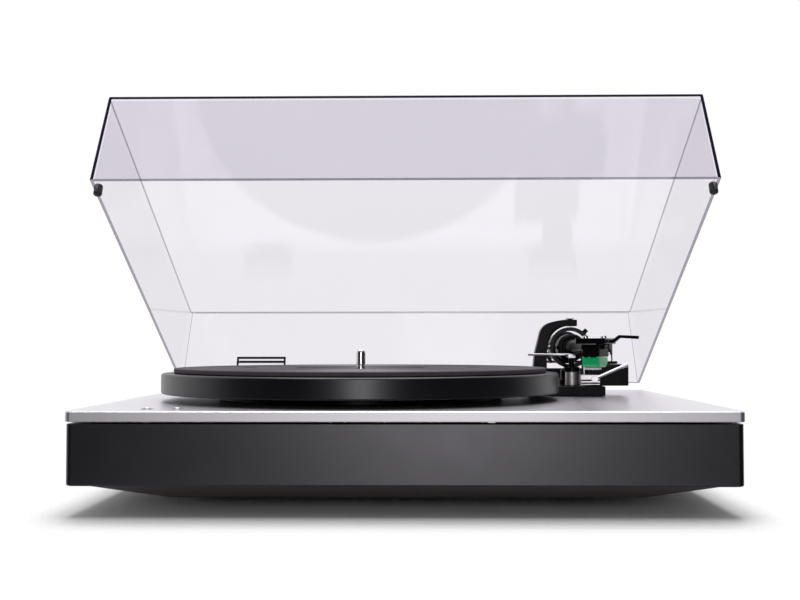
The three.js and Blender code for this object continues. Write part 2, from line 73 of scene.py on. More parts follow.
# Camera: low in front of the machine, a touch to the right of its middle, looking slightly up.
def make_camera():
    data = bpy.data.cameras.new("camera")
    data.sensor_width = 36
    data.lens = 53.15
    data.clip_start = 0.02
    data.clip_end = 50
    camera = bpy.data.objects.new("camera", data)
    camera.location = (0.01284, FRONT - 0.7540, PLATE_TOP + 0.0430)
    camera.rotation_euler = (math.radians(92.12), math.radians(0.045), math.radians(1.118))
    bpy.context.scene.collection.objects.link(camera)
    bpy.context.scene.camera = camera


# Materials.
class Nodes:
    """A material's node tree with short calls to add and link nodes."""

    def __init__(self, name):
        self.material = bpy.data.materials.new(name)
        self.material.use_nodes = True
        self.tree = self.material.node_tree
        self.tree.nodes.clear()
        self.output = self.tree.nodes.new("ShaderNodeOutputMaterial")
        self.coordinates = self.tree.nodes.new("ShaderNodeTexCoord").outputs["Object"]

    def add(self, kind, values=None, **settings):
        node = self.tree.nodes.new("ShaderNode" + kind)
        for key, value in settings.items():
            setattr(node, key, value)
        for key, value in (values or {}).items():
            if isinstance(value, bpy.types.NodeSocket):
                self.tree.links.new(value, node.inputs[key])
            else:
                node.inputs[key].default_value = value
        return node

    def moved(self, centre=(0, 0, 0), scale=(1, 1, 1)):
        """Object coordinates measured from centre, then scaled."""
        shift = self.add("VectorMath", {0: self.coordinates, 1: tuple(centre)}, operation="SUBTRACT")
        stretch = self.add("VectorMath", {0: shift.outputs[0], 1: tuple(scale)}, operation="MULTIPLY")
        return stretch.outputs[0]

    def noise(self, scale, detail):
        values = {"Vector": self.coordinates, "Scale": scale, "Detail": detail}
        return self.add("TexNoise", values).outputs["Fac"]

    def ranged(self, factor, low, high):
        """Noise, which stays mostly between 0.3 and 0.7, spread from low to high."""
        values = {"Value": factor, "From Min": 0.3, "From Max": 0.7, "To Min": low, "To Max": high}
        return self.add("MapRange", values).outputs["Result"]

    def blended(self, factor, first, second):
        node = self.add("Mix", data_type="RGBA")
        self.tree.links.new(factor, node.inputs["Factor"])
        node.inputs[6].default_value = (*first, 1)
        node.inputs[7].default_value = (*second, 1)
        return node.outputs[2]

    def bump(self, height, strength, distance):
        values = {"Height": height, "Strength": strength, "Distance": distance}
        return self.add("Bump", values).outputs["Normal"]

    def finish(self, shader):
        self.tree.links.new(shader, self.output.inputs["Surface"])
        return self.material


def painted(name, dark, light, roughness, grain, depth, metallic=0.0, spread=0.03, **sockets):
    """A surface with a fine grain, a slow change of colour and uneven gloss."""
    n = Nodes(name)
    slow = n.noise(14, 4)
    fine = n.noise(grain, 2)
    base = n.blended(n.ranged(slow, 0, 1), dark, light)
    rough = n.ranged(n.noise(60, 5), roughness - spread, roughness + spread)
    normal = n.bump(fine, 0.35, depth)
    values = {"Base Color": base, "Roughness": rough, "Metallic": metallic, "Normal": normal}
    values.update({key.replace("_", " "): value for key, value in sockets.items()})
    return n.finish(n.add("BsdfPrincipled", values).outputs[0])


def turned_metal(name, colour, roughness, centre, pitch=0.0004):
    """Metal with the fine rings that a lathe leaves round a vertical axis."""
    n = Nodes(name)
    rings = n.add(
        "TexWave",
        {"Vector": n.moved(centre), "Scale": 1 / pitch / 20, "Distortion": 0.4, "Detail": 2.0},
        wave_type="RINGS",
        rings_direction="Z",
    ).outputs["Fac"]
    tint = n.blended(n.noise(90, 3), tuple(c * 0.93 for c in colour), colour)
    rough = n.ranged(n.noise(400, 2), roughness - 0.04, roughness + 0.05)
    normal = n.bump(rings, 0.2, 10 * MICRON)
    values = {"Base Color": tint, "Metallic": 1.0, "Roughness": rough, "Normal": normal}
    return n.finish(n.add("BsdfPrincipled", values).outputs[0])


def plate_aluminium():
    """Bead-blasted aluminium: fine grain all over, the top face smoother than the edges."""
    n = Nodes("plate_aluminium")
    grain = n.noise(2300, 3)
    base = n.blended(n.ranged(n.noise(10, 4), 0, 1), (0.69, 0.675, 0.715), (0.73, 0.715, 0.755))
    normal = n.add("NewGeometry").outputs["Normal"]
    upward = n.add("SeparateXYZ", {0: normal}).outputs["Z"]
    edge_rough, top_rough = 0.46, 0.27
    by_facing = n.add("MapRange", {
        "Value": upward, "From Min": 0.5, "From Max": 0.9, "To Min": edge_rough, "To Max": top_rough,
    }).outputs["Result"]
    uneven = n.add("Math", {0: grain, 1: 0.06, 2: by_facing}, operation="MULTIPLY_ADD").outputs[0]
    bumps = n.bump(grain, 0.4, 12 * MICRON)
    values = {"Base Color": base, "Metallic": 1.0, "Roughness": uneven, "Normal": bumps}
    return n.finish(n.add("BsdfPrincipled", values).outputs[0])


def mat_rubber():
    """Soft grey rubber whose fine moulded rings round the spindle stretch its highlights."""
    n = Nodes("mat_rubber")
    ring_pitch = 1.6 * MM
    radial = n.add("VectorMath", {0: n.moved(SPINDLE, (1, 1, 0))}, operation="LENGTH").outputs["Value"]
    rings = n.add("Math", {0: radial, 1: 2 * math.pi / ring_pitch}, operation="MULTIPLY").outputs[0]
    groove = n.add("Math", {0: rings}, operation="SINE").outputs[0]
    fine = n.noise(2600, 3)
    height = n.add("Math", {0: fine, 1: 0.6, 2: groove}, operation="MULTIPLY_ADD").outputs[0]
    base = n.blended(n.ranged(n.noise(30, 5), 0, 1), (0.043, 0.038, 0.049), (0.060, 0.053, 0.067))
    rough = n.ranged(n.noise(300, 4), 0.50, 0.64)
    around = n.add("Tangent", direction_type="RADIAL", axis="Z").outputs["Tangent"]
    values = {"Base Color": base, "Roughness": rough, "Normal": n.bump(height, 0.25, 30 * MICRON),
              "Anisotropic": 0.9, "Tangent": around}
    return n.finish(n.add("BsdfPrincipled", values).outputs[0])


def acrylic(name, tint, body, solid_share, roughness=0.02):
    """Clear plastic sheet: mostly see-through, a little of its own colour, glossier at grazing angles. A
    large solid share makes its colour a painted shade, as on the lid's edge bands and lines.
    """
    facing_gloss, grazing_gloss = 0.010, 0.75
    n = Nodes(name)
    smear = n.noise(9, 3)
    paler_tint = tuple(min(1, channel * 1.012) for channel in tint)
    paler_body = tuple(channel * 1.25 for channel in body)
    through = n.add("BsdfTransparent", {"Color": n.blended(smear, tint, paler_tint)})
    own = n.add("BsdfDiffuse", {"Color": n.blended(n.noise(200, 3), body, paler_body)})
    sheet = n.add("MixShader", {"Fac": solid_share, 1: through.outputs[0], 2: own.outputs[0]})
    polish = n.ranged(smear, roughness, roughness + 0.03)
    gloss = n.add("BsdfGlossy", {"Color": (1, 1, 1, 1), "Roughness": polish})
    facing = n.add("LayerWeight", {"Blend": 0.5}).outputs["Facing"]
    grazing = n.add("Math", {0: facing, 1: 5.0}, operation="POWER").outputs[0]
    steps = {0: grazing, 1: grazing_gloss, 2: facing_gloss}
    share = n.add("Math", steps, operation="MULTIPLY_ADD").outputs[0]
    glossy = n.add("MixShader", {"Fac": share, 1: sheet.outputs[0], 2: gloss.outputs[0]})
    return n.finish(glossy.outputs[0])


ALUMINIUM = plate_aluminium()
PLINTH = painted(
    "plinth_black", (0.0078, 0.0070, 0.0096), (0.0104, 0.0092, 0.0126), roughness=0.33,
    grain=1500, depth=0.5 * MICRON, spread=0.012, Specular_IOR_Level=0.68, Specular_Tint=(0.96, 0.93, 1.0, 1),
)
# Painted light: the tray's black finish is lifted to a dark reddish grey, standing in for light bounced up
# from the floor under the body.
TRAY_PAINTED_LIGHT = painted(
    "tray_black_painted_light", (0.100, 0.080, 0.083), (0.120, 0.098, 0.100), roughness=0.60,
    grain=900, depth=10 * MICRON,
)
PLATTER = painted(
    "platter_black", (0.0045, 0.0041, 0.0054), (0.0062, 0.0056, 0.0074), roughness=0.33,
    grain=2200, depth=2 * MICRON, spread=0.012, Specular_IOR_Level=0.55, Specular_Tint=(0.97, 0.94, 1.0, 1),
)
MAT = mat_rubber()
RUBBER = painted(
    "rubber_black", (0.030, 0.030, 0.032), (0.045, 0.044, 0.047), roughness=0.75,
    grain=1200, depth=50 * MICRON,
)
BLACK_METAL = painted(
    "black_metal", (0.0030, 0.0028, 0.0034), (0.0055, 0.0052, 0.0060), roughness=0.28,
    grain=2400, depth=4 * MICRON, Specular_IOR_Level=0.07,
)
TUBE = painted(
    "tube_black", (0.010, 0.0095, 0.0105), (0.015, 0.0145, 0.0155), roughness=0.36,
    grain=2400, depth=4 * MICRON, Specular_IOR_Level=0.3,
)
PLASTIC = painted(
    "black_plastic", (0.0035, 0.0033, 0.0038), (0.0062, 0.0058, 0.0066), roughness=0.38,
    grain=1100, depth=10 * MICRON, Specular_IOR_Level=0.07,
)
STEEL = turned_metal("polished_steel", (0.78, 0.77, 0.78), 0.22, SPINDLE)
BRIGHT = painted(
    "satin_steel", (0.60, 0.58, 0.60), (0.70, 0.68, 0.70), roughness=0.34,
    grain=2200, depth=6 * MICRON, metallic=1.0,
)
SATIN = painted(
    "brushed_steel", (0.80, 0.76, 0.77), (0.88, 0.84, 0.85), roughness=0.50,
    grain=2200, depth=6 * MICRON, metallic=1.0,
)
BUTTON_STEEL = painted(
    "button_steel", (0.66, 0.65, 0.69), (0.72, 0.71, 0.75), roughness=0.30,
    grain=3000, depth=5 * MICRON, metallic=1.0,
)
NICKEL = painted(
    "nickel", (0.70, 0.69, 0.66), (0.78, 0.77, 0.74), roughness=0.22,
    grain=2400, depth=10 * MICRON, metallic=1.0,
)
GOLD = painted(
    "gold_plate", (0.80, 0.58, 0.26), (0.88, 0.66, 0.32), roughness=0.22,
    grain=2400, depth=10 * MICRON, metallic=1.0,
)
GREEN = painted(
    "green_plastic", (0.004, 0.50, 0.16), (0.007, 0.58, 0.20), roughness=0.34,
    grain=1500, depth=10 * MICRON,
)
WHITE = painted(
    "white_plastic", (0.80, 0.80, 0.79), (0.88, 0.88, 0.87), roughness=0.40,
    grain=1500, depth=10 * MICRON,
)
BOARD = painted(
    "board_green", (0.010, 0.085, 0.040), (0.016, 0.12, 0.055), roughness=0.45,
    grain=700, depth=50 * MICRON,
)
COPPER = painted(
    "copper_wire", (0.50, 0.20, 0.09), (0.62, 0.28, 0.13), roughness=0.35,
    grain=500, depth=200 * MICRON, metallic=0.9,
)
MAGNET = painted(
    "magnet_grey", (0.07, 0.07, 0.075), (0.10, 0.10, 0.105), roughness=0.55,
    grain=900, depth=50 * MICRON, metallic=0.3,
)
SOCKET_RED = painted(
    "socket_red", (0.42, 0.015, 0.012), (0.52, 0.03, 0.02), roughness=0.35,
    grain=900, depth=20 * MICRON,
)
SOCKET_WHITE = painted(
    "socket_white", (0.66, 0.66, 0.65), (0.76, 0.76, 0.75), roughness=0.35,
    grain=900, depth=20 * MICRON,
)
CLEAR = acrylic("lid_clear", (0.913, 0.901, 0.926), (0.34, 0.32, 0.38), 0.010, 0.05)
# Painted shade: an almost opaque dark purple for the bands along the lid's front folds, standing in for the
# darkness of light bent through the acrylic.
EDGE_SHADE = acrylic("lid_edge_painted_shade", (0.05, 0.035, 0.09), (0.014, 0.008, 0.034), 0.95, 0.30)
# Painted shade: a half-opaque grey for the thin lines along the lid's top folds and bottom rim, standing in
# for light bent through the sheet's edges.
RIM_SHADE = acrylic("lid_rim_painted_shade", (0.62, 0.58, 0.67), (0.17, 0.15, 0.20), 0.42)


# Mesh helpers.
def link(name, mesh, material, body, at=None):
    """A new object in the row frame, riding on body."""
    obj = bpy.data.objects.new(name, mesh)
    bpy.context.scene.collection.objects.link(obj)
    if material is not None:
        mesh.materials.append(material)
    if at is not None:
        obj.matrix_world = at
    bpy.context.view_layer.update()
    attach(obj, body)
    return obj


def bevel(obj, width, segments=2):
    """Rounds the piece's sharp edges."""
    edge = obj.modifiers.new("bevel", "BEVEL")
    edge.width = width
    edge.segments = segments
    edge.limit_method = "ANGLE"
    edge.angle_limit = math.radians(35)


def level(obj):
    """Keeps broad faces flat in the light where they meet small rounded ones."""
    weights = obj.modifiers.new("level", "WEIGHTED_NORMAL")
    weights.keep_sharp = True


def smooth(mesh, angle):
    """Smooth faces, with edges sharper than angle degrees kept sharp."""
    mesh.polygons.foreach_set("use_smooth", [True] * len(mesh.polygons))
    mesh.set_sharp_from_angle(angle=math.radians(angle))


def refined(node, material, width, segments=2):
    """A piece with a CAD node's own shape, its faces merged, its edges rounded and its curves smooth."""
    source = nodes[node].data
    work = bmesh.new()
    work.from_mesh(source)
    bmesh.ops.remove_doubles(work, verts=work.verts, dist=1e-6)
    bmesh.ops.dissolve_limit(work, angle_limit=math.radians(0.5), verts=work.verts, edges=work.edges)
    mesh = bpy.data.meshes.new(node + "_shape")
    work.to_mesh(mesh)
    work.free()
    mesh.validate()
    smooth(mesh, 32)
    piece = link(node + "_piece", mesh, material, BODY_OF[node])
    bevel(piece, width, segments)
    level(piece)
    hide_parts(node)


def lathe_mesh(name, profile, segments=128):
    """A profile of (radius, height) turned about Z. It ends on the axis, or closes on itself."""
    work = bmesh.new()
    closed = profile[0][0] > 0
    rings = []
    for radius, height in profile:
        if radius == 0:
            rings.append([work.verts.new((0, 0, height))])
        else:
            turns = [2 * math.pi * i / segments for i in range(segments)]
            ring = [(radius * math.cos(turn), radius * math.sin(turn), height) for turn in turns]
            rings.append([work.verts.new(point) for point in ring])
    pairs = list(zip(rings, rings[1:] + rings[:1])) if closed else list(zip(rings, rings[1:]))
    for low, high in pairs:
        for i in range(segments):
            j = (i + 1) % segments
            if len(low) == 1:
                work.faces.new((low[0], high[j], high[i]))
            elif len(high) == 1:
                work.faces.new((low[i], low[j], high[0]))
            else:
                work.faces.new((low[i], low[j], high[j], high[i]))
    bmesh.ops.recalc_face_normals(work, faces=work.faces)
    mesh = bpy.data.meshes.new(name)
    work.to_mesh(mesh)
    work.free()
    smooth(mesh, 30)
    return mesh


def lathe(name, profile, material, body, at, segments=128):
    piece = link(name, lathe_mesh(name, profile, segments), material, body, at)
    level(piece)
    return piece


def place(location, turn=0.0, lean=Matrix.Identity(4)):
    """A matrix at location, turned about Z, after lean."""
    return Matrix.Translation(location) @ Matrix.Rotation(turn, 4, "Z") @ lean


TO_LEFT = Matrix.Rotation(-math.pi / 2, 4, "Y")
TO_BACK = Matrix.Rotation(-math.pi / 2, 4, "X")
TO_FRONT = Matrix.Rotation(math.pi / 2, 4, "X")


def rounded(profile, radius, steps=3):
    """The profile with each inner corner replaced by a small arc."""
    points = [profile[0]]
    for before, corner, after in zip(profile, profile[1:], profile[2:]):
        a, c, b = Vector(before), Vector(corner), Vector(after)
        reach = min(radius, (a - c).length * 0.45, (b - c).length * 0.45)
        start, end = c + (a - c).normalized() * reach, c + (b - c).normalized() * reach
        for i in range(steps + 1):
            t = i / steps
            points.append(tuple(start * (1 - t) ** 2 + c * 2 * t * (1 - t) + end * t**2))
    points.append(profile[-1])
    return points


def block(name, low, high, material, body, at=None, radius=0.0004, segments=3):
    """A box with rounded edges between two corners, in at's own frame."""
    work = bmesh.new()
    bmesh.ops.create_cube(work, size=1)
    size, middle = Vector(high) - Vector(low), (Vector(high) + Vector(low)) / 2
    for vertex in work.verts:
        vertex.co = middle + Vector(c * s for c, s in zip(vertex.co, size))
    bmesh.ops.bevel(work, geom=work.edges[:], offset=radius, segments=segments, affect="EDGES", profile=0.5)
    mesh = bpy.data.meshes.new(name)
    work.to_mesh(mesh)
    work.free()
    smooth(mesh, 40)
    piece = link(name, mesh, material, body, at or Matrix.Identity(4))
    level(piece)
    return piece


def wire(name, points, radius, material, body, at=None):
    """A round wire from the first point to the last, drawn toward the points between."""
    curve = bpy.data.curves.new(name, "CURVE")
    curve.dimensions = "3D"
    curve.bevel_depth = radius
    curve.bevel_resolution = 4
    curve.resolution_u = 8
    curve.use_fill_caps = True
    spline = curve.splines.new("NURBS")
    spline.points.add(len(points) - 1)
    for point, place_of in zip(spline.points, points):
        point.co = (*place_of, 1)
    spline.order_u = min(4, len(points))
    spline.use_endpoint_u = True
    obj = bpy.data.objects.new(name, curve)
    bpy.context.scene.collection.objects.link(obj)
    curve.materials.append(material)
    obj.matrix_world = at or Matrix.Identity(4)
    bpy.context.view_layer.update()
    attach(obj, body)
    return obj


def screw(name, radius, height, material, body, at):
    """A cap screw, its six-sided socket made as a round one, its head standing up along at's Z."""
    profile = [
        (0, 0), (radius, 0), (radius, height * 0.8), (radius * 0.88, height), (radius * 0.5, height),
        (radius * 0.5, height * 0.35), (0, height * 0.35),
    ]
    return lathe(name, profile, material, body, at, 36)


def stands_for(piece, *names):
    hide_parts(*names)


# Plinth, plate, tray and feet.
def make_plinth():
    refined("top_plate", ALUMINIUM, 0.00025, 2)
    refined("plinth_body", PLINTH, 0.0004, 3)
    refined("base_tray", TRAY_PAINTED_LIGHT, 0.001, 3)
    for name in ("foot_front_left", "foot_back_left", "foot_front_right", "foot_back_right"):
        low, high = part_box(name)
        radius, height = (high.x - low.x) / 2, high.z - low.z
        foot = lathe(name + "_piece", rounded([
            (0, 0), (radius * 0.45, 0), (radius * 0.5, 0.0008), (radius * 0.58, 0.0008), (radius * 0.62, 0),
            (radius - 0.001, 0), (radius, 0.001), (radius, height - 0.0012),
            (radius - 0.0008, height - 0.0006), (radius - 0.0008, height), (0, height),
        ], 0.0003), RUBBER, "chassis", place(((low.x + high.x) / 2, (low.y + high.y) / 2, low.z)), 96)
        stands_for(foot, name)


def make_buttons():
    for name in ("power_button", "speed_button"):
        low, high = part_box(name)
        radius, height = (high.x - low.x) / 2, high.z - low.z
        centre = Vector(((low.x + high.x) / 2, (low.y + high.y) / 2, low.z))
        cap = lathe(name + "_piece", rounded([
            (0, 0), (radius, 0), (radius, height - 0.0004), (radius - 0.0004, height),
            (radius * 0.8, height), (radius * 0.55, height - 0.0003), (0, height - 0.0004),
        ], 0.00015), BUTTON_STEEL, BODY_OF[name], place(centre), 64)
        stands_for(cap, name)
        trim = [
            (radius + 0.0006, 0), (radius + 0.0018, 0), (radius + 0.0017, 0.00025), (radius + 0.0007, 0.0003),
        ]
        ring = lathe(name + "_trim", trim, BUTTON_STEEL, "chassis",
                     place((centre.x, centre.y, PLATE_TOP + 0.00005)), 64)


# Platter, mat, spindle and motor.
def make_platter():
    low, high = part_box("platter")
    radius, height = (high.x - low.x) / 2, high.z - low.z
    at = place((SPINDLE.x, SPINDLE.y, low.z))
    platter = lathe("platter_piece", rounded([
        (0.0042, 0.0041), (0.016, 0.0041), (0.016, 0.0092), (0.116, 0.0092), (0.116, 0.0025), (0.119, 0),
        (radius - 0.0009, 0), (radius, 0.0009), (radius, height - 0.0011), (radius - 0.0011, height),
        (0.0042, height), (0.0042, 0.0041),
    ], 0.0006)[:-1], PLATTER, BODY_OF["platter"], at, 288)
    stands_for(platter, "platter")

    mat_low, mat_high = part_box("platter_mat")
    outer, top = (mat_high.x - mat_low.x) / 2, mat_high.z - mat_low.z
    label = 0.051
    lip = 0.0009
    mat = lathe("platter_mat_piece", rounded([
        (0.0042, 0), (outer - 0.0004, 0), (outer, 0.0004), (outer, top - 0.0007), (outer - 0.0007, top),
        (outer - 0.004, top), (outer - 0.0046, top - 0.0003), (outer - 0.0052, top), (label + 0.0009, top),
        (label, top - lip), (0.0064, top - lip), (0.0042, top - lip - 0.0006), (0.0042, 0),
    ], 0.00025)[:-1], MAT, BODY_OF["platter_mat"], place((SPINDLE.x, SPINDLE.y, mat_low.z)), 288)
    cutters = []
    for side in (-1, 1):
        hole = lathe_mesh(f"hole_{side}", [(0, -0.01), (0.006, -0.01), (0.006, 0.02), (0, 0.02)], 48)
        cutter = bpy.data.objects.new(f"hole_{side}", hole)
        cutter.matrix_world = place((SPINDLE.x + side * 0.088, SPINDLE.y, mat_low.z))
        bpy.context.scene.collection.objects.link(cutter)
        cutters.append(cutter)
        gap = mat.modifiers.new(f"hole_{side}", "BOOLEAN")
        gap.operation = "DIFFERENCE"
        gap.solver = "EXACT"
        gap.object = cutter
    mat.modifiers.remove(mat.modifiers["level"])
    apply_modifiers(mat)
    for cutter in cutters:
        bpy.data.objects.remove(cutter)
    smooth(mat.data, 30)
    level(mat)
    stands_for(mat, "platter_mat")

    r = (SPINDLE_HIGH.x - SPINDLE_LOW.x) / 2
    full = SPINDLE_HIGH.z - SPINDLE_LOW.z
    tip = [(r * math.cos(t) ** 0.8, full - r * 0.75 * (1 - math.sin(t))) for t in
           [math.radians(a) for a in range(0, 90, 12)]]
    spindle = lathe("spindle_piece", [
        (0, 0), (r - 0.001, 0), (r, 0.001), (r, full - 0.0125), (r - 0.0002, full - 0.0122),
        (r - 0.0002, full - 0.0118), (r, full - 0.0115), *tip, (0, full),
    ], STEEL, BODY_OF["spindle"], place((SPINDLE.x, SPINDLE.y, SPINDLE_LOW.z)), 96)
    stands_for(spindle, "spindle")
    refined("motor_cover", PLASTIC, 0.0003)
    refined("rotor_magnet", MAGNET, 0.0003)
    refined("stator_coils", COPPER, 0.0006, 3)
    refined("spindle_bearing", NICKEL, 0.0002)


def apply_modifiers(obj):
    """Turns a piece's modifiers into its mesh."""
    graph = bpy.context.evaluated_depsgraph_get()
    mesh = bpy.data.meshes.new_from_object(obj.evaluated_get(graph))
    obj.modifiers.clear()
    old = obj.data
    obj.data = mesh
    bpy.data.meshes.remove(old)


# Electronics and rear panel.
def make_rear():
    for name, material in (("control_board", BOARD), ("phono_board", BOARD), ("power_supply", PLASTIC)):
        refined(name, material, 0.0003)
    refined("rear_panel", PLASTIC, 0.0002)
    refined("mains_inlet", PLASTIC, 0.0004)
    low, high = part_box("mains_inlet")
    middle = (low + high) / 2
    for side, offset in (("left", -0.0043), ("right", 0.0043)):
        pin_at = place((middle.x + offset, high.y - 0.0139, middle.z), 0, TO_BACK)
        pin = lathe(f"inlet_pin_{side}", rounded([
            (0, 0), (0.0012, 0), (0.0012, 0.008), (0.0008, 0.009), (0, 0.0092),
        ], 0.0003), NICKEL, "chassis", pin_at, 32)
    for name, ring in (("phono_jack_left", SOCKET_WHITE), ("phono_jack_right", SOCKET_RED)):
        refined(name, GOLD, 0.0002)
        low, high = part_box(name)
        middle = (low + high) / 2
        radius = (high.x - low.x) / 2
        collar_at = place((middle.x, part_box("rear_panel")[1].y + 0.00005, middle.z), 0, TO_BACK)
        collar = lathe(name + "_collar", rounded([
            (radius + 0.0004, 0), (radius + 0.0026, 0), (radius + 0.0026, 0.0014), (radius + 0.0018, 0.002),
            (radius + 0.0004, 0.002), (radius + 0.0004, 0),
        ], 0.0002)[:-1], ring, "chassis", collar_at, 64)
    make_ground_post()
    refined("power_rocker", PLASTIC, 0.0005, 3)
    refined("pairing_button", PLASTIC, 0.0004, 3)
    refined("output_switch", NICKEL, 0.0003)
    panel_low, panel_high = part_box("rear_panel")
    for i, (x, z) in enumerate((x, z) for x in (panel_low.x + 0.006, panel_high.x - 0.006)
                               for z in (panel_low.z + 0.005, panel_high.z - 0.005)):
        head = screw(f"panel_screw_{i + 1}", 0.0024, 0.0013, BLACK_METAL, "chassis",
                     place((x, panel_high.y, z), 0, TO_BACK))


def knurled(name, radius, length, teeth, depth, material, body, at):
    """A knurled round knob along at's Z, with chamfered ends."""
    work = bmesh.new()
    levels = [(0, radius - 0.0006), (0.0006, radius), (length - 0.0006, radius), (length, radius - 0.0006)]
    count = teeth * 4
    rings = []
    for height, size in levels:
        ring = []
        for i in range(count):
            angle = 2 * math.pi * i / count
            r = size - (depth if i % 4 in (2, 3) else 0)
            ring.append(work.verts.new((r * math.cos(angle), r * math.sin(angle), height)))
        rings.append(ring)
    for low, high in zip(rings, rings[1:]):
        for i in range(count):
            j = (i + 1) % count
            work.faces.new((low[i], low[j], high[j], high[i]))
    work.faces.new(list(reversed(rings[0])))
    work.faces.new(rings[-1])
    mesh = bpy.data.meshes.new(name)
    work.to_mesh(mesh)
    work.free()
    smooth(mesh, 20)
    return link(name, mesh, material, body, at)


def make_ground_post():
    low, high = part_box("ground_post")
    middle = (low + high) / 2
    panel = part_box("rear_panel")[1].y
    knob = knurled("ground_post_piece", (high.x - low.x) / 2, 0.0058, 24, 0.00025, NICKEL, "chassis",
                   place((middle.x, panel + 0.0012, middle.z), 0, TO_BACK))
    stands_for(knob, "ground_post")
    stem = lathe("ground_post_stem", rounded([
        (0, 0), (0.0026, 0), (0.0026, 0.0178), (0.0022, 0.0182), (0, 0.0182),
    ], 0.0002), NICKEL, "chassis", place((middle.x, panel - 0.010, middle.z), 0, TO_BACK), 48)


# Lid and hinges.
def lid_frame():
    """The closed lid's frame at the hinge line, turned open as stored."""
    return Matrix.Translation(HINGE) @ Matrix.Rotation(-LID_OPEN, 4, "X")


def make_lid():
    """The CAD lid's own shape: clear sheet, with painted shade as dark bands along the front wall's top and
    side folds and thin grey lines along the top folds and the bottom rim.
    """
    strip = 2.7 * MM
    fold = 0.9 * MM
    rim = 0.4 * MM
    work = bmesh.new()
    work.from_mesh(nodes["lid"].data)
    bmesh.ops.remove_doubles(work, verts=work.verts, dist=1e-6)
    bmesh.ops.transform(work, matrix=lid_frame().inverted(), verts=work.verts)
    half = max(v.co.x for v in work.verts)
    top = max(v.co.z for v in work.verts)
    bottom = min(v.co.z for v in work.verts)
    half_at_top = max(v.co.x for v in work.verts if v.co.z > top - fold)
    lean = (half - half_at_top) / (top - bottom - 0.8 * MM)
    cuts = [(Vector((0, 0, top - strip)), Vector((0, 0, 1)))]
    for side in (-1, 1):
        cuts.append((Vector((side * (half - strip), 0, bottom)), Vector((side, 0, lean)).normalized()))
    for point, normal in cuts:
        parts = work.verts[:] + work.edges[:] + work.faces[:]
        bmesh.ops.bisect_plane(work, geom=parts, plane_co=point, plane_no=normal)
    bmesh.ops.recalc_face_normals(work, faces=work.faces)
    # Painted shade: front-facing faces near the top and side folds get the dark band, the bottom rim and the
    # slanted top fold faces get the grey line.
    for face in work.faces:
        middle, normal = face.calc_center_median(), face.normal
        outer = half - lean * (middle.z - bottom)
        faces_front = normal.y < -0.25
        if faces_front and (middle.z > top - strip or abs(middle.x) > outer - strip):
            face.material_index = 1
        elif middle.z < bottom + rim or (middle.z > top - fold and 0.08 < abs(normal.z) < 0.99):
            face.material_index = 2
    bmesh.ops.transform(work, matrix=lid_frame(), verts=work.verts)
    mesh = bpy.data.meshes.new("lid_sheet")
    work.to_mesh(mesh)
    work.free()
    piece = link("lid_piece", mesh, CLEAR, BODY_OF["lid"])
    mesh.materials.append(EDGE_SHADE)
    mesh.materials.append(RIM_SHADE)
    stands_for(piece, "lid")


def make_hinges():
    for side in ("left", "right"):
        refined("hinge_base_" + side, BLACK_METAL, 0.0005, 3)
        refined("hinge_pin_" + side, STEEL, 0.0003)
        refined("hinge_clip_" + side, BLACK_METAL, 0.0004, 3)
        refined("lid_bumper_" + side, RUBBER, 0.0008, 3)
        low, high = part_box("hinge_base_" + side)
        middle = (low + high) / 2
        for i, height in enumerate((0.010, 0.024)):
            head = screw(f"hinge_base_screw_{side}_{i + 1}", 0.0032, 0.0018, BLACK_METAL, "chassis",
                         place((middle.x, HINGE.y + 0.006, low.z + height), 0, TO_BACK))
        clip_low, clip_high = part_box("hinge_clip_" + side)
        centre_x = (clip_low.x + clip_high.x) / 2
        for i, offset in enumerate((-0.0165, 0.0165)):
            at = lid_frame() @ place((centre_x + offset, -0.0066, 0.0040), 0, TO_BACK)
            head = screw(f"hinge_clip_screw_{side}_{i + 1}", 0.0026, 0.0014, STEEL, "lid_assembly", at)


# Tonearm mounting and cueing.
def make_arm_mounting():
    refined("arm_base", BLACK_METAL, 0.0006, 3)
    refined("arm_side_housing", PLASTIC, 0.0009, 3)
    refined("arm_pillar", BLACK_METAL, 0.0003)
    refined("pivot_arch", BLACK_METAL, 0.0006, 3)
    arch_web("arch_web_upper", 99, 163)
    arch_web("arch_web_lower", 192, 220)
    refined("top_pivot_screw", BLACK_METAL, 0.0002)
    refined("lift_cylinder", SATIN, 0.0003)
    make_lift_collar()
    refined("lift_bar", BRIGHT, 0.0001)
    refined("cue_bracket", BRIGHT, 0.0003)
    bracket_low, bracket_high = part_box("cue_bracket")
    for i, height in enumerate((0.0008, 0.0031)):
        low = (bracket_low.x + 0.0003, bracket_low.y - 0.00025, bracket_low.z + height)
        high = (bracket_high.x - 0.0003, bracket_low.y + 0.0006, bracket_low.z + height + 0.0013)
        band = block(f"cue_bracket_band_{i + 1}", low, high, BLACK_METAL, "chassis", None, 0.0001, 2)
    refined("cue_lever", BRIGHT, 0.0002)
    refined("arm_rest", PLASTIC, 0.0004, 3)
    low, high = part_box("anti_skate_dial")
    middle = (low + high) / 2
    dial = knurled("anti_skate_dial_piece", (high.x - low.x) / 2, high.z - low.z, 28, 0.0002, BLACK_METAL,
                   BODY_OF["anti_skate_dial"], place((middle.x, middle.y, low.z)))
    stands_for(dial, "anti_skate_dial")
    mark = block("anti_skate_mark", (-0.0004, 0.0025, 0), (0.0004, 0.0058, 0.00018), WHITE, "dial",
                 place((middle.x, middle.y, high.z)), 0.00006, 2)
    base_low, base_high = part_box("arm_base")
    back = base_high.y - 0.007
    for i, (x, y) in enumerate(((base_high.x - 0.006, back), (base_low.x + 0.007, back))):
        head = screw(f"arm_base_screw_{i + 1}", 0.003, 0.0022, STEEL, "chassis", place((x, y, base_high.z)))


